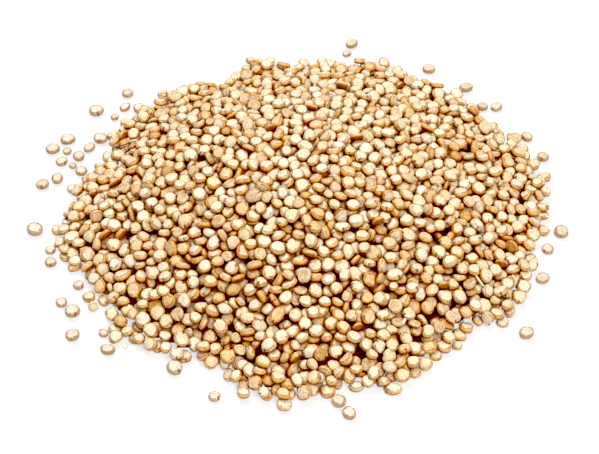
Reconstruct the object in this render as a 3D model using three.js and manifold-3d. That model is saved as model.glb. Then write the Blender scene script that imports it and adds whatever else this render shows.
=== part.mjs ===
// A loose heap of dry white quinoa, tipped out on a flat surface, with the stray grains that
// rolled off it. Millimetres, +Z up, origin on the surface under the middle of the whole spread.
//
// quinoa_heap is one closed solid: a low cone with a rounded top, covered with bumps the size
// of the grains, and with whole grains fused on over it and along its uneven edge.
// stray_01 and so on are single grains that lie clear of the heap, each on a small flat spot.

import * as THREE from "three";
import { mergeVertices } from "three/addons/utils/BufferGeometryUtils.js";
import Module from "manifold-3d";

const wasm = await Module();
wasm.setup();

// Driving dimensions
const GRAIN_DIAMETER = 2.1;
const GRAIN_THICKNESS = 1.2;
const GRAIN_FLAT = 0.68; // diameter of a grain's flat faces, as a share of its own
const SIZE_SPREAD = 0.1; // grains are up to this much larger or smaller
const HEAP_HEIGHT = 12;
const TOE_HEIGHT = 1.1; // the heap is one grain deep at its edge
const TIP_ROUNDING = 0.45; // share of the radius over which the top rounds off
const SWELL_HEIGHT = 0.25;
const SWELL_LENGTH = 6.5;

// Reach of the heap from its middle, every ten degrees anticlockwise from +X
const HEAP_REACH = [
  37.5, 39, 39, 37.5, 37.5, 38, 37, 37.5, 36, 34.5, 36.5, 33.5,
  34.5, 35.5, 34.5, 34, 33.5, 35, 36, 37.5, 35, 34, 34.5, 34,
  32.5, 32, 35.5, 35.5, 34, 35.5, 35, 33, 34, 36.5, 36.5, 36.5,
];

// Stray grains: x and y of the middle, measured from the middle of the heap, and diameter
const STRAYS = [
  [-28.5, 28.7, 1.9], [-28.7, 25.3, 1.6], [-26.4, 25, 1.8], [-33.3, 24.3, 2.1], [-30.2, 23, 1.3],
  [-37.3, 17.4, 2.1], [-39.5, 15.2, 2], [-37.2, 14.9, 1.4], [-37.8, 12.4, 1.8], [-36, 11.6, 1.3],
  [-35.2, 13.6, 1.8], [-33.7, 15.6, 1.8], [-32.1, 17.7, 2], [-34.5, 10.2, 1.7], [-38.1, 8.5, 1.8],
  [-40.3, 7.2, 2], [-40.4, -2.7, 2.3], [-37.6, -6.8, 1.5], [-37.3, -9.4, 1.7], [-32.7, -14, 1.6],
  [-34.9, -17.4, 1.6], [-33.1, -19.2, 2.1], [-32.7, -23.7, 2], [-27.4, -26.4, 1.8],
  [-28.3, -23.2, 1.4], [-17.7, -29.8, 2.2], [-11.9, -34.8, 1.7], [5.4, -35.7, 2], [6.8, -37.8, 1.9],
  [32.6, -23.3, 2], [36, -12.7, 2], [37.4, -6.7, 1.7], [39.8, -3.2, 2.1], [38.7, 13.4, 1.9],
  [36.6, 18.1, 1.8], [32.3, 25.3, 1.8], [30, 25.4, 1.8], [27.6, 30, 2], [21.7, 34.8, 2],
  [8.9, 41.4, 1.9], [8, 39, 1.4],
];
const STRAY_CLEARANCE = 0.35; // from a stray to any grain of the heap
const MEAN_REACH = HEAP_REACH.reduce((sum, reach) => sum + reach, 0) / HEAP_REACH.length;

// Bumps: a triangular lattice in rings, where every third point is the crown of a grain
const LATTICE_RINGS = 27;
const CROWN_RISE = 0.42;
const GAP_DEPTH = 0.4;
const LATTICE_JITTER = 0.2;
const HEIGHT_JITTER = 0.18;
const EDGE_INSET = 1; // the bumps end this far inside the reach, and whole grains make the rest
const EDGE_ROUNDING = 0.3;

// Whole grains fused to the bumps
const TOE_GRAINS = 50;
const TOP_GRAINS = 30;
const TOP_SPREAD = 0.92; // share of the radius that they are spread over
const TOP_PROUD = 0.12; // from the mean surface up to the middle of a grain
const TOE_INSET = 0.6 * GRAIN_DIAMETER; // from the reach in to the middle of a grain at the edge
const TOE_SCATTER = 0.3;
const TOE_TILT = 0.12;
const TOP_TILT = 0.5;
const GRAIN_SIDES = 6;
const STRAY_SIDES = 8;
const STRAY_OVAL = 0.93; // breadth over length of a stray grain, as grains aren't quite round

const FULL_TURN = 2 * Math.PI;
const GOLDEN_ANGLE = Math.PI * (3 - Math.sqrt(5));

const grainMaterial = new THREE.MeshStandardMaterial({ color: 0xd9bb8a, roughness: 0.6, metalness: 0 });
const strayMaterial = new THREE.MeshStandardMaterial({ color: 0xe6d2ac, roughness: 0.6, metalness: 0 });

// Seeded random numbers, 0 to 1
function randomSource(seed) {
  let state = seed;
  return () => {
    state = (state + 0x6d2b79f5) | 0;
    let t = Math.imul(state ^ (state >>> 15), 1 | state);
    t = (t + Math.imul(t ^ (t >>> 7), 61 | t)) ^ t;
    return ((t ^ (t >>> 14)) >>> 0) / 4294967296;
  };
}

const random = randomSource(20);
const spread = (amount) => (random() * 2 - 1) * amount;

// Distance from the heap's middle to its edge at a bearing, on a smooth curve through HEAP_REACH
function reachAt(bearing) {
  const count = HEAP_REACH.length;
  const place = ((bearing / FULL_TURN) * count + count) % count;
  const first = Math.floor(place);
  const t = place - first;
  const [a, b, c, d] = [-1, 0, 1, 2].map((step) => HEAP_REACH[(first + step + count) % count]);
  return b + 0.5 * t * (c - a + t * (2 * a - 5 * b + 4 * c - d + t * (3 * (b - c) + d - a)));
}

// The place on the heap's surface at a share of the way from its middle to its edge: a cone at
// the slope that poured grain takes, with a rounded top and a few slow hollows and swells. Its
// level lines are round near the middle, and only near the edge do they follow the edge's shape
function surfacePoint(share, bearing, inset = 0) {
  const radius = share * (MEAN_REACH + (reachAt(bearing) - MEAN_REACH) * share ** 3 - inset);
  const x = radius * Math.cos(bearing);
  const y = radius * Math.sin(bearing);
  const fromTip = (s) => Math.hypot(s, TIP_ROUNDING);
  const rise = (fromTip(1) - fromTip(share)) / (fromTip(1) - fromTip(0));
  const waves = Math.sin(x / SWELL_LENGTH + 1) * Math.sin(y / SWELL_LENGTH + 2);
  const swell = SWELL_HEIGHT * waves * Math.sin(Math.PI * share);
  return new THREE.Vector3(x, y, TOE_HEIGHT + (HEAP_HEIGHT - TOE_HEIGHT) * rise + swell);
}

// The bumpy body. Ring k of the lattice has 6k points, and six straight sides bent into a circle
function bumpyBody() {
  const positions = [];
  const triangles = [];
  const directions = [[1, 0], [0, 1], [-1, 1], [-1, 0], [0, -1], [1, -1]];
  const ringStart = (ring) => (ring === 0 ? 0 : 1 + 3 * ring * (ring - 1));

  for (let ring = 0; ring <= LATTICE_RINGS; ring++) {
    const perSide = Math.max(ring, 1);
    for (let index = 0; index < Math.max(6 * ring, 1); index++) {
      const side = Math.floor(index / perSide);
      const step = index % perSide;
      const along = directions[(side + 2) % 6];
      const q = ring * directions[side][0] + step * along[0];
      const r = ring * directions[side][1] + step * along[1];
      const isCrown = (((q - r) % 3) + 3) % 3 === 0;
      const share = ring / LATTICE_RINGS;
      const bearing = (index / Math.max(6 * ring, 1)) * FULL_TURN;
      const { x, y, z } = surfacePoint(share, bearing, EDGE_INSET);
      const bump = (isCrown ? CROWN_RISE : -GAP_DEPTH) + spread(HEIGHT_JITTER);
      positions.push(x + spread(LATTICE_JITTER), y + spread(LATTICE_JITTER), z + bump);
    }
  }

  // Triangles between each ring and the next
  for (let ring = 1; ring <= LATTICE_RINGS; ring++) {
    const outer = (index) => ringStart(ring) + (index % (6 * ring));
    const inner = (index) => ringStart(ring - 1) + (ring === 1 ? 0 : index % (6 * (ring - 1)));
    for (let side = 0; side < 6; side++) {
      for (let step = 0; step < ring; step++) {
        const out = side * ring + step;
        const into = side * (ring - 1) + step;
        triangles.push(outer(out), outer(out + 1), inner(into));
        if (step < ring - 1) triangles.push(inner(into), outer(out + 1), inner(into + 1));
      }
    }
  }

  // The edge rounds over and tucks in under itself to the floor, where the flat base closes it
  const edgePoints = 6 * LATTICE_RINGS;
  const edgeSteps = [
    { outset: EDGE_ROUNDING, height: TOE_HEIGHT * 0.4 },
    { outset: -EDGE_ROUNDING, height: 0 },
  ];
  let upper = ringStart(LATTICE_RINGS);
  for (const { outset, height } of edgeSteps) {
    const lower = positions.length / 3;
    for (let index = 0; index < edgePoints; index++) {
      const bearing = (index / edgePoints) * FULL_TURN;
      const { x, y } = surfacePoint(1, bearing, EDGE_INSET - outset);
      positions.push(x, y, height);
    }
    for (let index = 0; index < edgePoints; index++) {
      const next = (index + 1) % edgePoints;
      triangles.push(upper + index, lower + index, upper + next);
      triangles.push(upper + next, lower + index, lower + next);
    }
    upper = lower;
  }
  const baseMiddle = positions.length / 3;
  positions.push(0, 0, 0);
  for (let index = 0; index < edgePoints; index++) {
    triangles.push(upper + index, baseMiddle, upper + ((index + 1) % edgePoints));
  }

  const geometry = new THREE.BufferGeometry();
  geometry.setAttribute("position", new THREE.Float32BufferAttribute(positions, 3));
  geometry.setIndex(triangles);
  return geometry;
}

// One grain: a thick lens with two flat faces and a rim that comes to a blunt edge, lying flat,
// with its underside at z = 0
function grainGeometry(diameter, thickness, sides) {
  const radius = diameter / 2;
  const profile = [
    new THREE.Vector2(0, 0),
    new THREE.Vector2(radius * GRAIN_FLAT, 0),
    new THREE.Vector2(radius, thickness / 2),
    new THREE.Vector2(radius * GRAIN_FLAT, thickness),
    new THREE.Vector2(0, thickness),
  ];
  const geometry = new THREE.LatheGeometry(profile, sides);
  geometry.rotateX(Math.PI / 2); // the lathe turns about Y, and a grain's axis is Z
  return geometry;
}

function toManifold(geometry) {
  const bare = geometry.clone();
  bare.deleteAttribute("normal");
  bare.deleteAttribute("uv");
  const merged = mergeVertices(bare, 1e-4);
  return new wasm.Manifold(new wasm.Mesh({
    numProp: 3,
    vertProperties: new Float32Array(merged.attributes.position.array),
    triVerts: new Uint32Array(merged.index.array),
  }));
}

function toGeometry(manifold) {
  const mesh = manifold.getMesh();
  const geometry = new THREE.BufferGeometry();
  geometry.setAttribute("position", new THREE.BufferAttribute(mesh.vertProperties, 3));
  geometry.setIndex(new THREE.BufferAttribute(mesh.triVerts, 1));
  geometry.computeVertexNormals();
  return geometry;
}

// A grain tilted and turned at random about the middle of its thickness, which is then moved
// to a place
function placedGrain(x, y, z, tilt) {
  const size = 1 + spread(SIZE_SPREAD);
  const grain = grainGeometry(GRAIN_DIAMETER * size, GRAIN_THICKNESS * size, GRAIN_SIDES);
  grain.translate(0, 0, (-GRAIN_THICKNESS * size) / 2);
  grain.rotateZ(random() * FULL_TURN);
  grain.rotateX(spread(tilt));
  grain.rotateY(spread(tilt));
  grain.translate(x, y, z);
  return grain;
}

function touchesStray(x, y) {
  return STRAYS.some(([strayX, strayY, diameter]) => {
    const room = (GRAIN_DIAMETER * (1 + SIZE_SPREAD) + diameter) / 2 + STRAY_CLEARANCE;
    return Math.hypot(x - strayX, y - strayY) < room;
  });
}

// Grains along the edge lie nearly flat on the floor, some half under the heap
function toeGrains() {
  const grains = [];
  for (let index = 0; index < TOE_GRAINS; index++) {
    const bearing = ((index + spread(TOE_SCATTER)) / TOE_GRAINS) * FULL_TURN;
    const { x, y } = surfacePoint(1, bearing, TOE_INSET + spread(TOE_SCATTER));
    if (touchesStray(x, y)) continue;
    grains.push(placedGrain(x, y, TOE_HEIGHT - GRAIN_THICKNESS / 3, TOE_TILT));
  }
  return grains;
}

// Grains on top are spread evenly by the golden angle, and stand proud of the bumps
function topGrains() {
  const grains = [];
  for (let index = 0; index < TOP_GRAINS; index++) {
    const share = TOP_SPREAD * Math.sqrt((index + 0.5) / TOP_GRAINS);
    const { x, y, z } = surfacePoint(share, index * GOLDEN_ANGLE);
    grains.push(placedGrain(x, y, z + TOP_PROUD, TOP_TILT));
  }
  return grains;
}

// The whole heap, cut off level at the floor
function heapGeometry() {
  let heap = toManifold(bumpyBody());
  for (const grain of [...toeGrains(), ...topGrains()]) {
    heap = heap.add(toManifold(grain));
  }
  const span = 4 * Math.max(...HEAP_REACH);
  const belowFloor = new THREE.BoxGeometry(span, span, span).translate(0, 0, -span / 2);
  return toGeometry(heap.subtract(toManifold(belowFloor)));
}

function strayGeometry(x, y, diameter) {
  const geometry = grainGeometry(diameter, diameter * (GRAIN_THICKNESS / GRAIN_DIAMETER), STRAY_SIDES);
  geometry.scale(1, STRAY_OVAL, 1);
  geometry.rotateZ(random() * FULL_TURN);
  geometry.translate(x, y, 0);
  return toGeometry(toManifold(geometry));
}

const group = new THREE.Group();

const heap = new THREE.Mesh(heapGeometry(), grainMaterial);
heap.name = "quinoa_heap";
group.add(heap);

STRAYS.forEach(([x, y, diameter], index) => {
  const stray = new THREE.Mesh(strayGeometry(x, y, diameter), strayMaterial.clone());
  stray.name = `stray_${String(index + 1).padStart(2, "0")}`;
  group.add(stray);
});

// Put the origin under the middle of the whole spread
const middle = new THREE.Box3().setFromObject(group, true).getCenter(new THREE.Vector3());
group.position.set(-middle.x, -middle.y, 0);
group.updateMatrixWorld(true);

export default group;
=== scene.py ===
import math

import bpy
import numpy as np
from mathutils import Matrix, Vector
from mathutils.bvhtree import BVHTree


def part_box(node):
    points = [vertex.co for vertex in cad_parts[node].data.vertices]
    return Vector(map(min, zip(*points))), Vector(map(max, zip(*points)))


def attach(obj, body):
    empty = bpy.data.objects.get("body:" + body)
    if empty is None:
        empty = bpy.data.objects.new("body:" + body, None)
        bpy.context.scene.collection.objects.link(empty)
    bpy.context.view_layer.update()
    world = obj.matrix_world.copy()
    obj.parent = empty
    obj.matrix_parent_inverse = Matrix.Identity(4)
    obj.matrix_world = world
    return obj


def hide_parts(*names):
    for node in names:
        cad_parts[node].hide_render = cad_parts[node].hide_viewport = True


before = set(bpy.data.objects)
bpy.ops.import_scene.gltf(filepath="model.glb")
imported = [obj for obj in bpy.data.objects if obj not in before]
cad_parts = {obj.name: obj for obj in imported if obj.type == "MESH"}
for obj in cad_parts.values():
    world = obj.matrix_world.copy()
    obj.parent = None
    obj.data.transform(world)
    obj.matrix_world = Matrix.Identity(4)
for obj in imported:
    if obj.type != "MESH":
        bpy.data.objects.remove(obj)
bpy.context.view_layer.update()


# ---- The inside of the heap ------------------------------------------------------------------
# Grains too deep to be seen one by one: a low mound under the loose layers, painted dark brown
# for the shade they lie in. It's a grid laid over the mound, with its heights taken from the CAD
# heap's top.

MM = 0.001
GRID_STEP = 0.15 * MM  # of the height maps that the heap is laid out on
PROBE_EVERY = 4  # grid steps between the points where the CAD heap is measured
MAP_MARGIN = 4.5 * MM  # of the height maps, round the CAD heap
SMOOTHING = 0.9 * MM  # of the heights that are measured
HEAP_SHOWS = 0.1 * MM  # the heap is where its CAD solid is higher than this
LEAST_SHARE = 0.3  # a smoothed height is divided by the share of heap round it, or by this
TOE_HEIGHT = 0.9 * MM  # at the outermost grains, which lie on the floor
SECOND_LAYER = 1.2 * MM  # how much the surface rises over the first grain's width from there
RISE_START = 0.45  # how far inside the outline this rise starts, from 0 to 1
RISE_SPAN = 0.5  # and how much further inside it ends
CORE_DEPTH = 3.4 * MM  # below the heap's surface
CORE_EDGE = 0.25 * MM  # thickness of the core where it ends
CORE_INSIDE = 0.998  # how far inside the outline the core ends, from 0 to 1
CORE_STEP = 0.9 * MM  # between its points
ON_FLOOR = 0.02 * MM  # points of the core that are lower than this lie on the floor
SKY = 1.0  # far over the heap, which is measured down from there

heap_low, heap_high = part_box("quinoa_heap")
heap_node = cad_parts["quinoa_heap"]
map_x = heap_low.x - MAP_MARGIN
map_y = heap_low.y - MAP_MARGIN
probe_step = GRID_STEP * PROBE_EVERY
probes_x = int((heap_high.x - heap_low.x + 2 * MAP_MARGIN) / probe_step)
probes_y = int((heap_high.y - heap_low.y + 2 * MAP_MARGIN) / probe_step)


def blurred(field, radius):
    """A height map blurred by a Gaussian of this radius."""
    across = np.fft.rfftfreq(field.shape[1], GRID_STEP)[None, :]
    up = np.fft.fftfreq(field.shape[0], GRID_STEP)[:, None]
    keep = np.exp(-2 * (math.pi * radius) ** 2 * (across**2 + up**2))
    return np.fft.irfft2(np.fft.rfft2(field) * keep, s=field.shape)


def measured_surface():
    """Height maps of the CAD heap, smoothed, and of how far inside its outline each point is."""
    corners = [v.co for v in heap_node.data.vertices]
    faces = [tuple(p.vertices) for p in heap_node.data.polygons]
    tree = BVHTree.FromPolygons(corners, faces)
    down = Vector((0, 0, -1))
    probed = np.zeros((probes_y, probes_x))
    for row in range(probes_y):
        for column in range(probes_x):
            x = map_x + (column + 0.5) * probe_step
            y = map_y + (row + 0.5) * probe_step
            hit = tree.ray_cast(Vector((x, y, SKY)), down)[0]
            if hit is not None:
                probed[row, column] = hit.z
    rough = np.kron(probed, np.ones((PROBE_EVERY, PROBE_EVERY)))
    inside = blurred((rough > HEAP_SHOWS).astype(float), SMOOTHING)
    smooth = blurred(rough, SMOOTHING) / np.maximum(inside, LEAST_SHARE)
    return smooth, inside


surface, inside = measured_surface()
second_layer_share = np.clip((inside - RISE_START) / RISE_SPAN, 0, 1)
surface = np.maximum(surface, TOE_HEIGHT + SECOND_LAYER * second_layer_share)


def map_cell(x, y):
    """Row and column of the height maps at a place in metres."""
    column = ((np.asarray(x) - map_x) / GRID_STEP).astype(int)
    row = ((np.asarray(y) - map_y) / GRID_STEP).astype(int)
    return np.clip(row, 0, surface.shape[0] - 1), np.clip(column, 0, surface.shape[1] - 1)


def select_points(thing, indices):
    """Leaves the thing in edit mode with only these points selected."""
    bpy.ops.object.mode_set(mode="EDIT")
    bpy.ops.mesh.select_mode(type="VERT")
    bpy.ops.mesh.select_all(action="DESELECT")
    bpy.ops.object.mode_set(mode="OBJECT")
    for index in indices:
        thing.data.vertices[index].select = True
    bpy.ops.object.mode_set(mode="EDIT")


core_heights = np.where(inside > CORE_INSIDE, np.maximum(surface - CORE_DEPTH, CORE_EDGE), 0)
core_span = heap_high - heap_low
core_middle = (heap_high + heap_low) / 2

bpy.ops.object.select_all(action="DESELECT")
bpy.ops.mesh.primitive_grid_add(
    x_subdivisions=int(core_span.x / CORE_STEP),
    y_subdivisions=int(core_span.y / CORE_STEP),
    size=1,
)
core = bpy.context.object
core.name = "heap_inside"
for point in core.data.vertices:
    x = core_middle.x + point.co.x * core_span.x
    y = core_middle.y + point.co.y * core_span.y
    point.co = (x, y, core_heights[map_cell(x, y)])
on_floor = {p.index for p in core.data.vertices if p.co.z < ON_FLOOR}
used = {i for f in core.data.polygons if not on_floor.issuperset(f.vertices) for i in f.vertices}
select_points(core, on_floor - used)
bpy.ops.mesh.delete(type="VERT")
bpy.ops.mesh.select_all(action="SELECT")
bpy.ops.mesh.extrude_region()
bpy.ops.transform.resize(value=(1, 1, 0), center_override=(0, 0, 0))
bpy.ops.mesh.select_all(action="SELECT")
bpy.ops.mesh.normals_make_consistent(inside=False)
bpy.ops.object.mode_set(mode="OBJECT")
bpy.ops.object.shade_smooth()


def new_material(name, roughness):
    """A new material, its node tree and its Principled BSDF."""
    material = bpy.data.materials.new(name)
    material.use_nodes = True
    shader = material.node_tree.nodes["Principled BSDF"]
    shader.inputs["Roughness"].default_value = roughness
    return material, material.node_tree, shader


INNER_GRAIN_WIDTH = 2 * MM
INNER_GRAIN_RELIEF = 0.6 * MM
# Painted shade: the deep grains dark brown, and the gaps between them darker still
INNER_GRAIN_SHADE = (0.24, 0.11, 0.04, 1)
INNER_GAP_SHADE = (0.07, 0.025, 0.01, 1)

inside_material, tree, shader = new_material("shaded grains", 0.8)
place = tree.nodes.new("ShaderNodeTexCoord")
cells = tree.nodes.new("ShaderNodeTexVoronoi")
cells.inputs["Scale"].default_value = 1 / INNER_GRAIN_WIDTH
ramp = tree.nodes.new("ShaderNodeValToRGB")
ramp.color_ramp.elements[0].color = INNER_GRAIN_SHADE
ramp.color_ramp.elements[1].color = INNER_GAP_SHADE
bump = tree.nodes.new("ShaderNodeBump")
bump.invert = True
bump.inputs["Distance"].default_value = INNER_GRAIN_RELIEF
tree.links.new(place.outputs["Object"], cells.inputs["Vector"])
tree.links.new(cells.outputs["Distance"], ramp.inputs["Fac"])
tree.links.new(cells.outputs["Distance"], bump.inputs["Height"])
tree.links.new(ramp.outputs["Color"], shader.inputs["Base Color"])
tree.links.new(bump.outputs["Normal"], shader.inputs["Normal"])
core.data.materials.append(inside_material)
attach(core, "root")
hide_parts("quinoa_heap")


# ---- How the grains come to lie --------------------------------------------------------------
# The outermost grains lie flat at the heap's edge, each in its own place. The others are dropped
# one at a time where the heap is lowest. Each is a flattened ball that tries a few places and
# tilts about the slope under it, and stays in the one where it sinks lowest.

GRAIN_RADIUS = 1.04 * MM
SIZE_SPREAD = 0.08
GRAIN_FLATNESS = 0.55  # thickness over diameter
FLATNESS_SPREAD = 0.05
SPOTS = 400  # random places looked at for the lowest
TRIES = 24  # of each grain about the lowest spot
WANDER = 0.8 * MM  # how far from the lowest spot a grain may try
LEAN = math.radians(13)  # spread of the tilts about the slope
SLOPE_TAKEN = (0.2, 1)  # least and greatest part of the slope under it that a grain takes up
UPWARD_ON_EDGE = (0.1, 0.6)  # upward part of the normal of a grain on its edge
LYING_FLAT = 0.7 * MM  # how much lower a grain on edge must sink to be chosen over a level one
CROWDING = 0.5 * MM  # how much lower a grain on its own must sink to be chosen over a hemmed-in one
ON_EDGE_SHARE = 0.11  # of the grains try places on their edge
STEEPEST = 1.1  # the slope that a grain follows at most
BESIDE = 1.25  # the grains next to it are looked for within this many radii of its middle
SHOULDER = 0.5  # they hem it in if they're higher than this many half thicknesses under its middle
TOP_LAYER = 0.1 * MM  # how high over the heap's surface any grain's middle may lie
ROUGHNESS = 0.25 * MM  # spread of how much higher yet each one may lie
CLOSENESS = 0.95  # grains settle as if they were this much smaller, since their edges are round
EDGE_INSIDE = 0.3  # how far inside the outline a grain's middle has to be, from 0 to 1
SHALLOWEST = 0.3 * MM  # the heap is full where it's no lower than this
FULL_REACH = 0.35 * MM  # round a place where no grain fits, which isn't tried again
TOP_BLUR = 0.9 * MM  # of the top that the depth of a grain is measured from
PATCH_REACH = 1.4  # usual radii from a grain's middle to the end of the heights looked at
EDGE_PLUMPNESS = 1.08  # edge grains are this much wider than the width given, which is their face's
EDGE_TILT = 0.12  # spread of their slopes
EDGE_GRAINS = (  # across and down in the camera's picture, and width, in pixels
    (251, 60, 10), (260, 62, 9), (270, 60, 9.5), (247, 68, 9.5), (279, 69, 10), (304, 64, 11),
    (322, 61, 10), (331, 65, 12), (345, 70, 10), (355, 70, 10.5), (367, 68, 9), (384, 63, 12),
    (392, 71, 10), (402, 76, 10), (413, 80, 10.5), (425, 82, 9), (163, 94, 10), (173, 96, 11),
    (151, 110, 10), (143, 114, 10), (126, 122, 10), (136, 121, 10), (124, 129, 10),
    (113, 135, 11), (117, 141, 10), (117, 149, 9.5), (108, 157, 12), (113, 163, 12),
    (99, 174, 12), (111, 172, 12), (89, 181, 13), (72, 188, 10), (80, 190, 10), (89, 191, 12),
    (82, 205, 12), (77, 213, 10), (68, 222, 12), (59, 230, 13), (65, 234, 12), (66, 256, 12),
    (75, 266, 13), (89.5, 297, 12), (93, 306, 10), (104, 300, 12), (116, 329, 14), (116, 339, 13),
    (158, 346, 13), (166, 350, 12), (184, 356, 14), (207.5, 358, 10), (219, 358, 11),
    (242, 376, 13), (243.5, 386, 12), (244, 395, 12), (266, 394, 13), (277, 391, 13),
    (284.5, 404, 15.5), (290, 394, 12), (303.5, 387, 13), (327.5, 392, 15), (343, 374, 15),
    (357, 386, 13), (372.5, 377.5, 13), (393, 389, 15), (416, 372, 12), (425, 365.5, 14),
    (435.5, 355, 12), (457, 345, 10), (459, 336, 14), (445.5, 335.5, 12), (502.5, 321, 12),
    (509.5, 310.5, 13), (516, 295, 12), (522.5, 286, 11), (530, 260, 13), (513.7, 138.7, 14),
    (522.5, 149, 11), (543.7, 177.5, 12), (542, 191, 12), (543.7, 230, 12),
)

CAMERA_RISE = math.radians(46)
CAMERA_AIM = Vector((0.27, -3.33, 0)) * MM
CAMERA_DISTANCE = 255 * MM
CAMERA_LENS = 100
SENSOR_WIDTH = 36
PICTURE_WIDTH = 599
PICTURE_HEIGHT = 454
EDGE_HEIGHT = 0.55 * MM  # of the edge grains' middles, which lie on the table

camera_ahead = Vector((0, math.cos(CAMERA_RISE), -math.sin(CAMERA_RISE)))
camera_upward = Vector((0, math.sin(CAMERA_RISE), math.cos(CAMERA_RISE)))
camera_place = CAMERA_AIM - camera_ahead * CAMERA_DISTANCE

rng = np.random.default_rng(11)
reach_cells = int(PATCH_REACH * GRAIN_RADIUS / GRID_STEP)
offsets = np.arange(-reach_cells, reach_cells + 1)
patch_row, patch_column = [a.ravel() for a in np.meshgrid(offsets, offsets, indexing="ij")]
patch = np.stack([patch_column, patch_row], 1) * GRID_STEP
reach_squared = (patch**2).sum(1)  # of each point of the patch, from its middle


def shell_heights(normals, radius, half_thickness):
    """Lower and upper heights of tilted flattened balls over a patch, and where they have any."""
    squash = 1 / half_thickness**2 - 1 / radius**2
    lean = normals[:, :2] @ patch.T
    a = 1 / radius**2 + squash * normals[:, 2:] ** 2
    b = squash * normals[:, 2:] * lean
    c = reach_squared[None, :] / radius**2 + squash * lean**2 - 1
    room = b**2 - a * c
    root = np.sqrt(np.maximum(room, 0))
    return (-b - root) / a, (-b + root) / a, room > 0


def tilts_about(slopes, on_edge):
    """Unit normals scattered about a part of these slopes, or nearly level for grains on edge."""
    lean = rng.normal(0, math.tan(LEAN), slopes.shape)
    part = rng.uniform(*SLOPE_TAKEN, (len(slopes), 1))
    normals = np.column_stack([lean - part * slopes, np.ones(len(slopes))])
    if on_edge:
        bearing = rng.uniform(0, 2 * math.pi, len(slopes))
        rise = rng.uniform(*UPWARD_ON_EDGE, len(slopes))
        normals = np.column_stack([np.cos(bearing), np.sin(bearing), rise])
    return normals / np.linalg.norm(normals, axis=1, keepdims=True)


def seen_at(across, down, width):
    """Where a grain on the table lies that the camera shows at this pixel, and its true width, to
    the tenth of a millimetre."""
    focal = CAMERA_LENS / SENSOR_WIDTH * PICTURE_WIDTH
    right = (across - PICTURE_WIDTH / 2) / focal
    up = (PICTURE_HEIGHT / 2 - down) / focal
    ray = camera_ahead + Vector((right, 0, 0)) + camera_upward * up
    distance = (EDGE_HEIGHT - camera_place.z) / ray.z
    place = camera_place + ray * distance
    return [round(size / MM, 1) * MM for size in (place.x, place.y, width * distance / focal)]


def rest_on(under, normals, radius, half):
    """How high grains of these tilts rest on the heights under them, with their upper sides."""
    low, high, covered = shell_heights(normals, CLOSENESS * radius, CLOSENESS * half)
    return np.where(covered, under - low, 0).max(1), high, covered


grain_tops = core_heights.copy()
laid_grains = []  # middle, normal, radius and half thickness of each


def lay_grain(row, column, z, high, covered, normal, radius, half):
    """Adds a grain, and raises the heights that the next ones rest on to its upper side."""
    at = (row + patch_row[covered], column + patch_column[covered])
    grain_tops[at] = np.maximum(grain_tops[at], z + high[covered])
    x = map_x + (column + 0.5) * GRID_STEP
    y = map_y + (row + 0.5) * GRID_STEP
    laid_grains.append((x, y, z, *normal, radius, half))


def lay_edge_grains():
    """The outermost grains, each nearly level in its own place."""
    for across, down, pixels_wide in EDGE_GRAINS:
        x, y, width = seen_at(across, down, pixels_wide)
        row, column = map_cell(x, y)
        radius = width * EDGE_PLUMPNESS / 2
        half = radius * GRAIN_FLATNESS
        normal = np.array([(*rng.normal(0, EDGE_TILT, 2), 1)])
        normal /= np.linalg.norm(normal)
        under = grain_tops[row + patch_row, column + patch_column][None]
        rest, high, covered = rest_on(under, normal, radius, half)
        lay_grain(row, column, rest[0], high[0], covered[0], normal[0], radius, half)


def drop_grain(spot_row, spot_column):
    """Tries a grain in places about a spot, lays it in the best, and says whether it did. It
    doesn't if that is too high up."""
    radius = GRAIN_RADIUS * (1 + rng.normal(0, SIZE_SPREAD))
    half = radius * (GRAIN_FLATNESS + rng.normal(0, FLATNESS_SPREAD))
    wander = WANDER / GRID_STEP
    row = np.rint(spot_row + rng.uniform(-wander, wander, TRIES)).astype(int)
    column = np.rint(spot_column + rng.uniform(-wander, wander, TRIES)).astype(int)
    under = grain_tops[row[:, None] + patch_row, column[:, None] + patch_column]
    near = reach_squared < radius**2
    slopes = (under[:, near] @ patch[near]) / (patch[near, 0] ** 2).sum()
    slopes = np.clip(slopes, -STEEPEST, STEEPEST)
    normals = tilts_about(slopes, rng.random() < ON_EDGE_SHARE)
    rest, high, covered = rest_on(under, normals, radius, half)
    above = rest - surface[row, column]
    above[inside[row, column] < EDGE_INSIDE] = SKY
    beside = (reach_squared > radius**2) & (reach_squared < (BESIDE * radius) ** 2)
    hemmed = (under[:, beside] > rest[:, None] - SHOULDER * half).mean(1)
    best = np.argmin(above + LYING_FLAT * (1 - normals[:, 2]) - CROWDING * hemmed)
    if above[best] > TOP_LAYER + abs(rng.normal(0, ROUGHNESS)):
        return False
    z = rest[best]
    lay_grain(row[best], column[best], z, high[best], covered[best], normals[best], radius, half)
    return True


def pour_grains():
    """Drops grains on the lowest of a few random spots until no spot has room for one."""
    full = np.zeros(surface.shape, bool)
    full_reach = int(FULL_REACH / GRID_STEP)
    allowed_rows, allowed_columns = np.nonzero(inside > EDGE_INSIDE)
    while True:
        pick = rng.integers(0, len(allowed_rows), SPOTS)
        rows, columns = allowed_rows[pick], allowed_columns[pick]
        room = surface[rows, columns] - grain_tops[rows, columns]
        room = np.where(full[rows, columns], 0, room)
        lowest = np.argmax(room)
        if room[lowest] < SHALLOWEST:
            return
        row, column = rows[lowest], columns[lowest]
        if not drop_grain(row, column):
            rows_round = slice(row - full_reach, row + full_reach + 1)
            full[rows_round, column - full_reach:column + full_reach + 1] = True


lay_edge_grains()
pour_grains()
grains = np.array(laid_grains)
heap_top = blurred(grain_tops, TOP_BLUR)
kind_draw = rng.random(len(grains))


def grains_between(low, high):
    """The share of the poured grains whose draw lies between these."""
    return grains[(kind_draw >= low) & (kind_draw < high)]


# ---- Plump grains ----------------------------------------------------------------------------
# The commonest grain: a thick round cushion with an ivory face, painted shade on its lower side,
# and the curled germ round its edge as a low tan band. Modelled once, then copied, each copy with
# its own size and warp.

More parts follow.
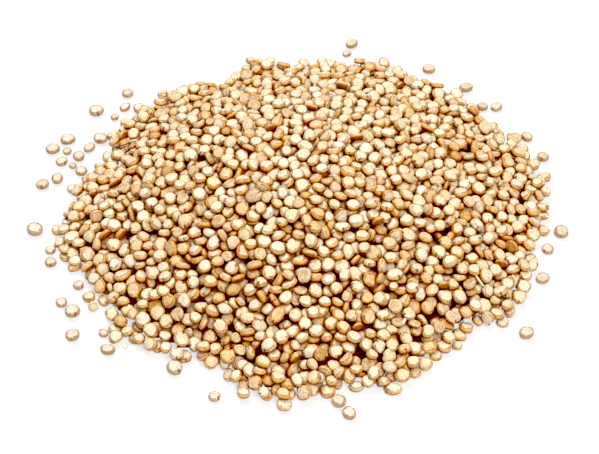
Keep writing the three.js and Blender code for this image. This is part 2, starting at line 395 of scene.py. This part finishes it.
GRAIN_SIDES = 12
GRAIN_RINGS = 6  # from pole to pole
SHAPE_FLATNESS = 0.55  # half thickness over radius of the shapes below
BEAK_REACH = 0.07  # the germ's tip stands out of the edge by this share of the radius
NOTCH_DEPTH = 0.12  # and next to it is a dent
WARP = 0.1  # spreads of how far the copies are warped, oval and uneven, in shares of the radius
OVAL = 0.07
UNEVENNESS = 0.009
LEVEL_SLACK = 1e-3  # points of a ball that are this near a level belong to its ring
# Painted shade along the crease between face and band, and the germ tip's own brown scar
CREASE_SHADE_AND_SCAR = (0.20, 0.07, 0.02)  # brown of the creases and scars of every grain
# Painted shade of the parts that lie deep in the heap
DEEP_SHADE = (0.11, 0.028, 0.010)  # of the parts that lie deep in the heap
# Painted shade in the narrow gaps where grains touch
CONTACT_SHADE = (0.30, 0.10, 0.018)  # where grains touch
CONTACT_REACH = 0.7 * MM
CONTACT_SHARE = {"From_Min": 0.82, "From_Max": 0.3, "To_Max": 0.85}  # by how open a place is
COAT_RELIEF = 0.11 * MM
LIGHT_REACH = 0.5 * MM  # how far light spreads under the coat
CELL_SHARE = [0, 0.36, 0.55, 0.68, 0.8, 0.91, 0.98]  # where each ring lies on the map
CELL_REACH = 0.48  # from the middle of a grain's square of the map to its rim


def turned_grain(name, rings):
    """A grain of radius 1: a ball whose rings of points are moved to (radius, height), top first."""
    bpy.ops.object.select_all(action="DESELECT")
    bpy.ops.mesh.primitive_uv_sphere_add(segments=GRAIN_SIDES, ring_count=GRAIN_RINGS, radius=1)
    grain = bpy.context.object
    grain.name = name
    levels = [math.cos(math.pi * ring / GRAIN_RINGS) for ring in range(GRAIN_RINGS + 1)]
    members = [
        [p.index for p in grain.data.vertices if abs(p.co.z - level) < LEVEL_SLACK] for level in levels
    ]
    for level, indices, (radius, height) in zip(levels, members, rings):
        widen = radius / math.sqrt(1 - level**2) if len(indices) > 1 else 1
        select_points(grain, indices)
        bpy.ops.transform.resize(value=(widen, widen, 1), center_override=(0, 0, 0))
        bpy.ops.transform.translate(value=(0, 0, height - level))
        bpy.ops.object.mode_set(mode="OBJECT")
    edge_rings = members[3:5]  # round the middle, and the next below
    for bearing, move in ((0, BEAK_REACH), (2 * math.pi / GRAIN_SIDES, -NOTCH_DEPTH)):
        towards = Vector((math.cos(bearing), math.sin(bearing), 0))
        tip = [max(ring, key=lambda i: grain.data.vertices[i].co.dot(towards)) for ring in edge_rings]
        select_points(grain, tip)
        bpy.ops.transform.translate(value=towards * move)
        bpy.ops.object.mode_set(mode="OBJECT")
    return grain


def shape_of(grain):
    """A modelled grain's points, and the grain itself taken away."""
    points = np.array([p.co for p in grain.data.vertices])
    bpy.data.objects.remove(grain)
    return points


plump_model = turned_grain("plump_model", [
    (0, 0.51), (0.60, 0.48), (0.84, 0.38), (0.95, 0.22), (1.0, -0.04), (0.91, -0.35), (0, -0.46),
])
grain_faces = [tuple(p.vertices) for p in plump_model.data.polygons]
plump_shape = shape_of(plump_model)
flat_shape = shape_of(turned_grain("flat_model", [
    (0, 0.42), (0.68, 0.41), (0.86, 0.36), (0.96, 0.22), (1.0, -0.02), (0.93, -0.33), (0, -0.42),
]))


def map_places():
    """For each corner of each face of a grain, its place in the grain's own square of the map:
    the upper pole is in the middle, the edge is a ring round it, and the lower pole is its rim."""
    levels = np.arange(GRAIN_RINGS + 1)
    round_ball = np.rint(np.arccos(np.clip(ball_points[:, 2], -1, 1)) * GRAIN_RINGS / math.pi)
    ring = np.interp(round_ball, levels, CELL_SHARE)
    bearing = np.arctan2(ball_points[:, 1], ball_points[:, 0])
    corners = []
    for face in grain_faces:
        turns = np.array([bearing[i] for i in face])
        is_pole = np.array([math.hypot(*ball_points[i][:2]) < LEVEL_SLACK for i in face])
        first = turns[~is_pole][0]
        turns = first + (turns - first + math.pi) % (2 * math.pi) - math.pi
        turns[is_pole] = turns[~is_pole].mean()
        for index, turn in zip(face, turns):
            corners.append((ring[index] * math.cos(turn), ring[index] * math.sin(turn)))
    return np.array(corners)


bpy.ops.mesh.primitive_uv_sphere_add(segments=GRAIN_SIDES, ring_count=GRAIN_RINGS, radius=1)
ball_points = shape_of(bpy.context.object)
cell_corners = map_places()


def own_forms(shapes, blend, places, warp):
    """Points of a copy for each place, as modelled and at their size. Each is a blend of two
    shapes, with its own oval and warp."""
    count = len(places)
    radius, half = places[:, 6], places[:, 7]
    share = rng.uniform(*blend, count)[:, None, None]
    points = shapes[0][None] * (1 - share) + shapes[1][None] * share
    points = points + rng.normal(0, UNEVENNESS, points.shape)
    x, y, z = (points[:, :, i] for i in range(3))
    bend = rng.normal(0, warp, (5, count, 1))
    oval = rng.normal(0, OVAL, (count, 1))
    warped_x = x * (1 + oval) * (1 + bend[0] * y)
    warped_y = y * (1 - oval) * (1 + bend[1] * x)
    warped_z = z * (1 + bend[2] * x) + 0.5 * bend[3] * (x * x - y * y) + bend[4] * x * y
    sized = np.stack([warped_x, warped_y, warped_z], 2) * radius[:, None, None]
    sized[:, :, 2] *= (half / (radius * SHAPE_FLATNESS))[:, None]
    return points, sized


def put_down(sized, places):
    """The copies' points spun at random, tilted, and moved to their places, on the floor or above."""
    spin = rng.uniform(0, 2 * math.pi, len(places))[:, None]
    up = places[:, 3:6]
    # Across each normal, from an axis that isn't nearly along it
    side = np.cross(up, np.where(np.abs(up[:, :1]) < 0.9, (1, 0, 0), (0, 1, 0)))
    side /= np.linalg.norm(side, axis=1, keepdims=True)
    along = side * np.cos(spin) + np.cross(up, side) * np.sin(spin)
    across = np.cross(up, along)
    placed = (
        sized[:, :, :1] * along[:, None] + sized[:, :, 1:2] * across[:, None]
        + sized[:, :, 2:] * up[:, None] + places[:, None, :3]
    )
    sunk = np.minimum(placed[:, :, 2].min(1), 0)
    placed[:, :, 2] -= sunk[:, None]
    return placed


def note_attribute(mesh, name, kind, values):
    """Keeps a value for each point of a mesh, for its material."""
    noted = mesh.attributes.new(name, kind, "POINT").data
    field = "vector" if kind == "FLOAT_VECTOR" else "value"
    noted.foreach_set(field, values.astype(np.float32).ravel())


def strewn(name, shapes, blend, places, warp=WARP):
    """Copies of a grain at these places, joined as one piece. Each keeps what its material needs
    to know as attributes, and has its own square of the map."""
    points, sized = own_forms(shapes, blend, places, warp)
    placed = put_down(sized, places)
    count, per_grain = points.shape[:2]
    starts = np.arange(count) * per_grain
    faces = [tuple(start + i for i in face) for start in starts for face in grain_faces]
    mesh = bpy.data.meshes.new(name)
    mesh.from_pydata(placed.reshape(-1, 3), [], faces)
    mesh.polygons.foreach_set("use_smooth", np.ones(len(faces), bool))
    note_attribute(mesh, "seed_place", "FLOAT_VECTOR", points)
    for own_number in ("seed_tone", "seed_code"):
        note_attribute(mesh, own_number, "FLOAT", np.repeat(rng.random(count), per_grain))
    depths = (heap_top[map_cell(placed[:, :, 0], placed[:, :, 1])] - placed[:, :, 2]) / MM
    note_attribute(mesh, "seed_depth", "FLOAT", depths)

    squares = math.ceil(math.sqrt(count))
    cell = np.arange(count)
    cell_middle = np.stack([cell % squares, cell // squares], 1) + 0.5
    corners = (cell_middle[:, None] + cell_corners[None] * CELL_REACH) / squares
    mesh.uv_layers.new(name="OFBake").data.foreach_set("uv", corners.astype(np.float32).ravel())

    piece = bpy.data.objects.new(name, mesh)
    bpy.context.scene.collection.objects.link(piece)
    return piece


class CoatNodes:
    """Makes and links the nodes of a coat's pattern, one step at a time."""

    def __init__(self, tree):
        self.nodes = tree.nodes
        self.links = tree.links

    def feed(self, node, *values, **named):
        """Links or sets a node's first inputs, and those named. Gives the node back."""
        for key, value in (*enumerate(values), *named.items()):
            socket = node.inputs[key.replace("_", " ") if isinstance(key, str) else key]
            if isinstance(value, bpy.types.NodeSocket):
                self.links.new(value, socket)
            else:
                socket.default_value = value
        return node

    def attribute(self, name, output="Fac"):
        node = self.nodes.new("ShaderNodeAttribute")
        node.attribute_name = name
        return node.outputs[output]

    def math(self, operation, *values):
        node = self.nodes.new("ShaderNodeMath")
        node.operation = operation
        return self.feed(node, *values).outputs[0]

    def vector(self, operation, *values):
        node = self.nodes.new("ShaderNodeVectorMath")
        node.operation = operation
        return self.feed(node, *values).outputs["Value" if operation == "LENGTH" else "Vector"]

    def mixed(self, factor, first, second):
        """The first colour turned into the second by a factor from 0 to 1."""
        node = self.nodes.new("ShaderNodeMix")
        node.data_type = "RGBA"
        self.links.new(factor, node.inputs["Factor"])
        self.links.new(first, node.inputs[6])
        self.links.new(second, node.inputs[7])
        return node.outputs[2]

    def smooth_step(self, value, start, end):
        """Rises smoothly from 0 at the start to 1 at the end."""
        node = self.nodes.new("ShaderNodeMapRange")
        node.interpolation_type = "SMOOTHSTEP"
        return self.feed(node, value, From_Min=start, From_Max=end).outputs[0]

    def noise(self, place, code, scale, detail):
        """Blotches that differ from grain to grain."""
        node = self.nodes.new("ShaderNodeTexNoise")
        node.noise_dimensions = "4D"
        return self.feed(node, Vector=place, W=code, Scale=scale, Detail=detail).outputs["Fac"]


COAT_INPUTS = (
    ("Face", "NodeSocketColor", (0.8, 0.7, 0.5, 1)),
    ("Warm face", "NodeSocketColor", (0.7, 0.5, 0.3, 1)),
    ("Edge", "NodeSocketColor", (0.6, 0.3, 0.1, 1)),
    ("Underside shade", "NodeSocketColor", (0.4, 0.2, 0.06, 1)),
    ("Crease shade and scar", "NodeSocketColor", (0.3, 0.15, 0.05, 1)),
    ("Deep shade", "NodeSocketColor", (0.1, 0.03, 0.01, 1)),
    ("Edge start", "NodeSocketFloat", 0.7),
    ("Edge amount", "NodeSocketFloat", 0.8),
    ("Line", "NodeSocketFloat", 0.8),
    ("Mottle", "NodeSocketFloat", 0.6),
    ("Spots", "NodeSocketFloat", 0.5),
)
# Places and lengths on the coat are those of a grain of radius 1. A range is where a change starts
# and ends.
CODE_SPREAD = 40.0  # sets the blotches of one grain well apart from those of the next
BLOTCHES = (1.6, 2.0)  # scale and detail
SPECKS = (4.5, 4.0)
BREAKS = (1.8, 1.0)  # in the crease
WOBBLE = 0.2  # how much blotches move the band in and out
WARMTH_RANGE = (0.35, 1.15)
BAND_FADE = 0.07  # from the face to the band
OWN_BAND = (0.35, 0.65)  # the part of a band's strength that grains differ in, and the rest
# Painted shade: below these heights a grain's lower side turns to the underside shade colour
UNDERSIDE_SHADE_RANGE = (0.04, -0.30)  # by height
CREASE_RANGE = (0.02, 0.09)  # by how far from the band's start
BREAKS_RANGE = (0.38, 0.56)
TIP_PLACE = (0.86, 0.22, 0)  # of the germ
SCAR_STRETCH = (0.55, 1.5, 0)  # makes the scar at the tip a wedge
SCAR_RANGE = (0.06, 0.26)  # by how far from the tip
SCAR_STRENGTH = 0.85
SHADED_RANGE = (0.5, 1.5)  # millimetres under the heap's top
SHADED_STRENGTH = 0.75
DEEP_RANGE = (0.85, 1.9)
SPECKLE_RANGE = (0.32, 0.68)
SPECKLE_SHADE = (0.44, 0.70)  # how much brighter it makes the coat, from how dark
CREASE_HEIGHT = -0.7  # in shares of the coat's relief
SCAR_HEIGHT = -0.8
SPECK_HEIGHT = 0.4


def coat_with_band(make, given, colour, wobble, height):
    """The coat with the tan band round its edge, and below it painted shade on the grain's lower side.
    """
    band_end = make.math("ADD", given["Edge start"], BAND_FADE)
    band = make.smooth_step(wobble, given["Edge start"], band_end)
    own_amount = make.math("MULTIPLY_ADD", make.attribute("seed_code"), *OWN_BAND)
    own_amount = make.math("MULTIPLY", own_amount, given["Edge amount"])
    colour = make.mixed(make.math("MULTIPLY", band, own_amount), colour, given["Edge"])
    under = make.smooth_step(height, *UNDERSIDE_SHADE_RANGE)
    return make.mixed(under, colour, given["Underside shade"])


def crease_mask(make, given, wobble, breaks):
    """The crease between the band and the face, which is missing here and there. It is a groove in
    the relief and a line of painted shade in the colour.
    """
    from_crease = make.math("ABSOLUTE", make.math("SUBTRACT", wobble, given["Edge start"]))
    crease = make.math("SUBTRACT", 1.0, make.smooth_step(from_crease, *CREASE_RANGE))
    return make.math("MULTIPLY", crease, make.smooth_step(breaks, *BREAKS_RANGE))


def scar_mask(make, given, flat):
    """The brown wedge where the germ's tip meets the face, on some grains."""
    from_tip = make.vector("SUBTRACT", flat, TIP_PLACE)
    scar_size = make.vector("LENGTH", make.vector("MULTIPLY", from_tip, SCAR_STRETCH))
    has_scar = make.math("LESS_THAN", make.attribute("seed_code"), given["Spots"])
    scar = make.math("SUBTRACT", 1.0, make.smooth_step(scar_size, *SCAR_RANGE))
    return make.math("MULTIPLY", scar, make.math("MULTIPLY", has_scar, SCAR_STRENGTH))


def painted_depth_shade(make, given, colour):
    """The coat in painted shade, browner and then nearly black the deeper it lies, by millimetres
    under the heap's top.
    """
    depth = make.attribute("seed_depth")
    shaded = make.math("MULTIPLY", make.smooth_step(depth, *SHADED_RANGE), SHADED_STRENGTH)
    colour = make.mixed(shaded, colour, given["Underside shade"])
    return make.mixed(make.smooth_step(depth, *DEEP_RANGE), colour, given["Deep shade"])


def seed_coat_group():
    """The colour and relief of a grain's coat, from the place on the grain and from two numbers
    that each grain has of its own. The colour holds painted shade: on the lower side, along the
    crease, and deeper in the heap."""
    group = bpy.data.node_groups.new("Seed coat", "ShaderNodeTree")
    for socket, kind, value in COAT_INPUTS:
        made = group.interface.new_socket(socket, in_out="INPUT", socket_type=kind)
        made.default_value = value
    group.interface.new_socket("Colour", in_out="OUTPUT", socket_type="NodeSocketColor")
    group.interface.new_socket("Height", in_out="OUTPUT", socket_type="NodeSocketFloat")
    make = CoatNodes(group)
    given = make.nodes.new("NodeGroupInput").outputs
    result = make.nodes.new("NodeGroupOutput")

    own_place = make.attribute("seed_place", "Vector")
    code = make.math("MULTIPLY", make.attribute("seed_code"), CODE_SPREAD)
    flat = make.vector("MULTIPLY", own_place, (1, 1, 0))
    blotch = make.math("SUBTRACT", make.noise(own_place, code, *BLOTCHES), 0.5)
    fine = make.noise(own_place, code, *SPECKS)
    breaks = make.noise(own_place, code, *BREAKS)
    wobble = make.math("MULTIPLY_ADD", blotch, WOBBLE, make.vector("LENGTH", flat))
    height = make.feed(make.nodes.new("ShaderNodeSeparateXYZ"), own_place).outputs["Z"]

    # Warmer and paler grains, each with slow blotches of its own
    warmth = make.math("MULTIPLY_ADD", blotch, given["Mottle"], make.attribute("seed_tone"))
    colour = make.mixed(make.smooth_step(warmth, *WARMTH_RANGE), given["Face"], given["Warm face"])

    colour = coat_with_band(make, given, colour, wobble, height)
    crease = crease_mask(make, given, wobble, breaks)
    # Painted shade along the crease, then the brown scar at the germ's tip
    colour = make.mixed(make.math("MULTIPLY", crease, given["Line"]), colour, given["Crease shade and scar"])
    scar = scar_mask(make, given, flat)
    colour = make.mixed(scar, colour, given["Crease shade and scar"])
    colour = painted_depth_shade(make, given, colour)

    speckle = make.smooth_step(fine, *SPECKLE_RANGE)
    speckle = make.math("MULTIPLY_ADD", speckle, *SPECKLE_SHADE)
    shade = make.feed(make.nodes.new("ShaderNodeHueSaturation"), Color=colour, Value=speckle)
    scar_hollow = make.math("MULTIPLY", scar, SCAR_HEIGHT)
    hollows = make.math("MULTIPLY_ADD", crease, CREASE_HEIGHT, scar_hollow)
    wrinkles = make.math("MULTIPLY_ADD", fine, SPECK_HEIGHT, hollows)
    make.feed(result, Colour=shade.outputs["Color"], Height=wrinkles)
    return group


seed_coat = seed_coat_group()


def painted_gap_shade(make, colour):
    """The colour with painted shade: brown where other grains are close, the more so the less open
    the place is. Light that reaches the narrow gaps has gone through the coats."""
    openness = make.nodes.new("ShaderNodeAmbientOcclusion")
    openness.samples = 4
    openness.inputs["Distance"].default_value = CONTACT_REACH
    shut_in = make.nodes.new("ShaderNodeMapRange")
    shut_in.interpolation_type = "SMOOTHSTEP"
    make.feed(shut_in, openness.outputs["AO"], **CONTACT_SHARE)
    touched = make.nodes.new("ShaderNodeMix")
    touched.data_type = "RGBA"
    touched.inputs[7].default_value = (*CONTACT_SHADE, 1)
    make.links.new(shut_in.outputs[0], touched.inputs["Factor"])
    make.links.new(colour, touched.inputs[6])
    return touched.outputs[2]


def coat_material(name, face, warm, edge, under, roughness=0.42, **settings):
    """A grain's material: the seed coat's pattern in these colours. The under colour is painted
    shade, on a grain's lower side and on grains deep in the heap.
    """
    material, tree, shader = new_material(name, roughness)
    make = CoatNodes(tree)
    coat = tree.nodes.new("ShaderNodeGroup")
    coat.node_tree = seed_coat
    colours = {"Face": face, "Warm face": warm, "Edge": edge, "Underside shade": under}
    colours.update({"Crease shade and scar": CREASE_SHADE_AND_SCAR, "Deep shade": DEEP_SHADE})
    for socket, colour in colours.items():
        coat.inputs[socket].default_value = (*colour, 1)
    make.feed(coat, **settings)
    bump = tree.nodes.new("ShaderNodeBump")
    bump.inputs["Distance"].default_value = COAT_RELIEF
    bump.inputs["Strength"].default_value = 0.9
    tree.links.new(painted_gap_shade(make, coat.outputs["Colour"]), shader.inputs["Base Color"])
    tree.links.new(coat.outputs["Height"], bump.inputs["Height"])
    tree.links.new(bump.outputs["Normal"], shader.inputs["Normal"])
    shader.inputs["Subsurface Weight"].default_value = 0.05
    shader.inputs["Subsurface Radius"].default_value = (1.0, 0.6, 0.35)
    shader.inputs["Subsurface Scale"].default_value = LIGHT_REACH
    return material


def finish_grains(piece, material):
    """Gives a piece its material, and says what it rides on."""
    piece.data.materials.append(material)
    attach(piece, "root")


plump = strewn("plump_grains", (plump_shape, flat_shape), (0, 0.45), grains_between(0, 0.45))
finish_grains(plump, coat_material(
    "ivory seed coat", face=(0.72, 0.63, 0.465), warm=(0.73, 0.535, 0.33),
    edge=(0.70, 0.395, 0.12), under=(0.36, 0.125, 0.022), Edge_start=0.84, Edge_amount=1.0, Line=0.6,
))


# ---- Banded grains ---------------------------------------------------------------------------
# Flatter grains, whose germ stands round the edge as a clear golden ring with a crease inside
# it. The face is cream and nearly flat.

banded = strewn("banded_grains", (flat_shape, plump_shape), (0, 0.3), grains_between(0.45, 0.88))
finish_grains(banded, coat_material(
    "cream and golden seed coat", face=(0.72, 0.605, 0.42), warm=(0.70, 0.48, 0.255),
    edge=(0.67, 0.35, 0.09), under=(0.34, 0.115, 0.02), Edge_start=0.80, Edge_amount=1.0, Line=0.8,
))


# ---- Ringed grains ---------------------------------------------------------------------------
# Grains with a deep hollow in the face, so that the germ looks like a ring with a hole. Modelled
# from a ball like the others, and poured among them.

ringed_shape = shape_of(turned_grain("ringed_model", [
    (0, 0.20), (0.34, 0.26), (0.64, 0.41), (0.85, 0.42), (1.0, -0.04), (0.84, -0.40), (0, -0.40),
]))
ringed = strewn("ringed_grains", (ringed_shape, flat_shape), (0, 0.5), grains_between(0.88, 0.93))
finish_grains(ringed, coat_material(
    "ringed seed coat", face=(0.66, 0.49, 0.30), warm=(0.50, 0.34, 0.19),
    edge=(0.72, 0.54, 0.32), under=(0.32, 0.14, 0.04), Edge_start=0.54, Edge_amount=0.6, Line=0.2,
))


# ---- Chalky grains ---------------------------------------------------------------------------
# Unripe or rubbed grains, matt and opaque, the palest of all, with a dull brown band. Their shapes
# lie between the plump and the ringed one, and they are poured among the others.

chalky = strewn("chalky_grains", (plump_shape, ringed_shape), (0, 0.5), grains_between(0.93, 0.965))
finish_grains(chalky, coat_material(
    "chalky seed coat", face=(0.80, 0.72, 0.56), warm=(0.76, 0.62, 0.44),
    edge=(0.54, 0.38, 0.20), under=(0.38, 0.20, 0.07), roughness=0.7, Edge_amount=0.8,
))


# ---- Toasted grains --------------------------------------------------------------------------
# The darkest ones: shrunken grains, orange to brown, with a dented face. Modelled from a ball like
# the others, and poured among them.

shrunken_shape = shape_of(turned_grain("shrunken_model", [
    (0, 0.26), (0.40, 0.38), (0.70, 0.27), (0.88, 0.34), (1.0, -0.04), (0.80, -0.36), (0, -0.36),
]))
toasted = strewn("toasted_grains", (shrunken_shape, flat_shape), (0, 0.6), grains_between(0.965, 1))
finish_grains(toasted, coat_material(
    "toasted seed coat", face=(0.70, 0.47, 0.22), warm=(0.56, 0.30, 0.10),
    edge=(0.54, 0.26, 0.07), under=(0.33, 0.14, 0.03), Edge_amount=0.8,
))


# ---- Stray grains ----------------------------------------------------------------------------
# Single grains that rolled off and lie flat round the heap, each where its CAD solid lies. They
# are seen one by one, so their shape is subdivided.

STRAY_PLUMPNESS = 1.18  # a round grain over the CAD solid's eight sides
STRAY_TILT = 0.07  # spread of their slopes
STRAY_WARP = 0.04
stray_names = sorted(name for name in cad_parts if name.startswith("stray_"))
stray_places = []
for name in stray_names:
    low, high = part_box(name)
    centre = (low + high) / 2
    radius = max(high.x - low.x, high.y - low.y) / 2 * STRAY_PLUMPNESS
    half = radius * SHAPE_FLATNESS
    normal = Vector((*rng.normal(0, STRAY_TILT, 2), 1)).normalized()
    stray_places.append((centre.x, centre.y, half, *normal, radius, half))
stray_places = np.array(stray_places)
strays = strewn("stray_grains", (flat_shape, plump_shape), (0, 0.4), stray_places, STRAY_WARP)
bpy.context.view_layer.objects.active = strays
rounding = strays.modifiers.new("rounding", "SUBSURF")
rounding.levels = rounding.render_levels = 1
bpy.ops.object.modifier_apply(modifier=rounding.name)
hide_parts(*stray_names)
# A darker copy of the coat: painted shade against the bright light of the white table round them
finish_grains(strays, coat_material(
    "loose seed coat with painted shade", face=(0.62, 0.53, 0.405), warm=(0.60, 0.455, 0.325),
    edge=(0.42, 0.27, 0.13), under=(0.25, 0.13, 0.05), Edge_start=0.79, Edge_amount=1.0, Line=0.6,
    Spots=0.85,
))


# ---- Husk flakes -----------------------------------------------------------------------------
# Scraps of white papery coat and one loose thread of germ, left among the grains. Each is a thin
# sheet curled round its own length, and lies on the grains or on the table.

FLAKE_THICKNESS = 0.09 * MM
FLAKE_TAPER = 1.6  # how fast it narrows to the ends
FLAKE_BOW = 0.12  # how far the ends bend up
FLAKE_CELLS = 3  # steps of the height map round a flake's middle, where the grains carry it
FLAKES = (  # in mm and degrees: place and height over the grains, length, width, curl; bearing, tip
    ((15.6, -25.0, 0.1), 1.3, 0.9, 0.36, 115, 25),
    ((15.1, -25.8, 0.0), 0.9, 0.6, 0.28, 60, -20),
    ((-24.6, -27.3, 0.45), 1.0, 0.9, 0.24, 70, 12),
    ((37.4, 10.2, 0.40), 1.0, 0.8, 0.45, 20, 10),
    ((38.3, -2.2, 0.1), 1.3, 0.5, 0.45, 140, 25),
    ((26.5, -17.5, 0.1), 2.2, 0.32, 0.30, 122, -14),
)

flakes = []
for (x, y, over), length, width, curl, bearing, tip in FLAKES:
    bpy.ops.mesh.primitive_grid_add(x_subdivisions=5, y_subdivisions=6, size=1)
    flake = bpy.context.object
    for point in flake.data.vertices:
        taper = 1 - FLAKE_TAPER * abs(point.co.x) ** 3
        turn = point.co.y * width * taper / curl
        across = curl * math.sin(turn)
        rise = curl * (math.cos(turn) - 1) + FLAKE_BOW * length * point.co.x**2
        point.co = Vector((point.co.x * length, across, rise)) * MM
    shell = flake.modifiers.new("sheet", "SOLIDIFY")
    shell.thickness = FLAKE_THICKNESS
    bpy.ops.object.modifier_apply(modifier=shell.name)
    flake.rotation_euler = (0, math.radians(tip), math.radians(bearing))
    row, column = map_cell(x * MM, y * MM)
    rows = slice(row - FLAKE_CELLS, row + FLAKE_CELLS + 1)
    top = grain_tops[rows, column - FLAKE_CELLS:column + FLAKE_CELLS + 1].max()
    flake.location = (x * MM, y * MM, top + over * MM)
    flakes.append(flake)
bpy.ops.object.select_all(action="DESELECT")
for flake in flakes:
    flake.select_set(True)
bpy.context.view_layer.objects.active = flakes[0]
bpy.ops.object.join()
husks = flakes[0]
husks.name = "husk_flakes"
bpy.ops.object.transform_apply(location=True, rotation=True, scale=True)
bpy.ops.object.shade_smooth()
husk_material, tree, shader = new_material("papery husk", 0.6)
shader.inputs["Base Color"].default_value = (0.72, 0.67, 0.56, 1)
finish_grains(husks, husk_material)


# ---- Floor, light and camera -----------------------------------------------------------------
# A bare white table in a white room, with a large soft light behind the heap and another in front
# of it, and the camera that looks down on it.

DARKEST = (0.011, 0.049, 0.048)  # red, green and blue that come out black

bpy.ops.mesh.primitive_plane_add(size=6)
floor = bpy.context.object
floor.name = "floor"
floor_material, tree, shader = new_material("white table", 0.9)
shader.inputs["Base Color"].default_value = (0.27, 0.27, 0.27, 1)
shader.inputs["Specular IOR Level"].default_value = 0
shader.inputs["Emission Color"].default_value = (1, 1, 1, 1)
shader.inputs["Emission Strength"].default_value = 0.65
floor.data.materials.append(floor_material)


def area_light(name, place, size, power, colour=(1, 1, 1)):
    """A square soft light that faces the heap."""
    data = bpy.data.lights.new(name, "AREA")
    data.size = size
    data.energy = power
    data.color = colour
    light = bpy.data.objects.new(name, data)
    light.location = place
    light.rotation_euler = (-Vector(place)).to_track_quat("-Z", "Y").to_euler()
    bpy.context.scene.collection.objects.link(light)


area_light("back_light", (-0.08, 0.24, 0.42), 0.28, 2.3)
area_light("front_light", (0.14, -0.3, 0.42), 0.3, 3.0, (1, 0.99, 0.97))

world = bpy.data.worlds.new("white room")
bpy.context.scene.world = world
world.use_nodes = True
room = world.node_tree
room_light = room.nodes["Background"]
room_light.inputs["Color"].default_value = (1, 0.86, 0.69, 1)
room_light.inputs["Strength"].default_value = 0.23
room_seen = room.nodes.new("ShaderNodeBackground")
room_seen.inputs["Color"].default_value = (1, 1, 1, 1)
ray = room.nodes.new("ShaderNodeLightPath")
either = room.nodes.new("ShaderNodeMixShader")
room.links.new(ray.outputs["Is Camera Ray"], either.inputs["Fac"])
room.links.new(room_light.outputs[0], either.inputs[1])
room.links.new(room_seen.outputs[0], either.inputs[2])
room.links.new(either.outputs[0], room.nodes["World Output"].inputs["Surface"])

camera_data = bpy.data.cameras.new("camera")
camera_data.lens = CAMERA_LENS
camera_data.sensor_width = SENSOR_WIDTH
camera_data.clip_start = 0.01
camera = bpy.data.objects.new("camera", camera_data)
camera.location = camera_place
camera.rotation_euler = (math.pi / 2 - CAMERA_RISE, 0, 0)
bpy.context.scene.collection.objects.link(camera)
bpy.context.scene.camera = camera
view = bpy.context.scene.view_settings
view.view_transform = "Standard"
view.look = "Medium Contrast"
view.use_curve_mapping = True
view.curve_mapping.black_level = DARKEST
view.curve_mapping.update()
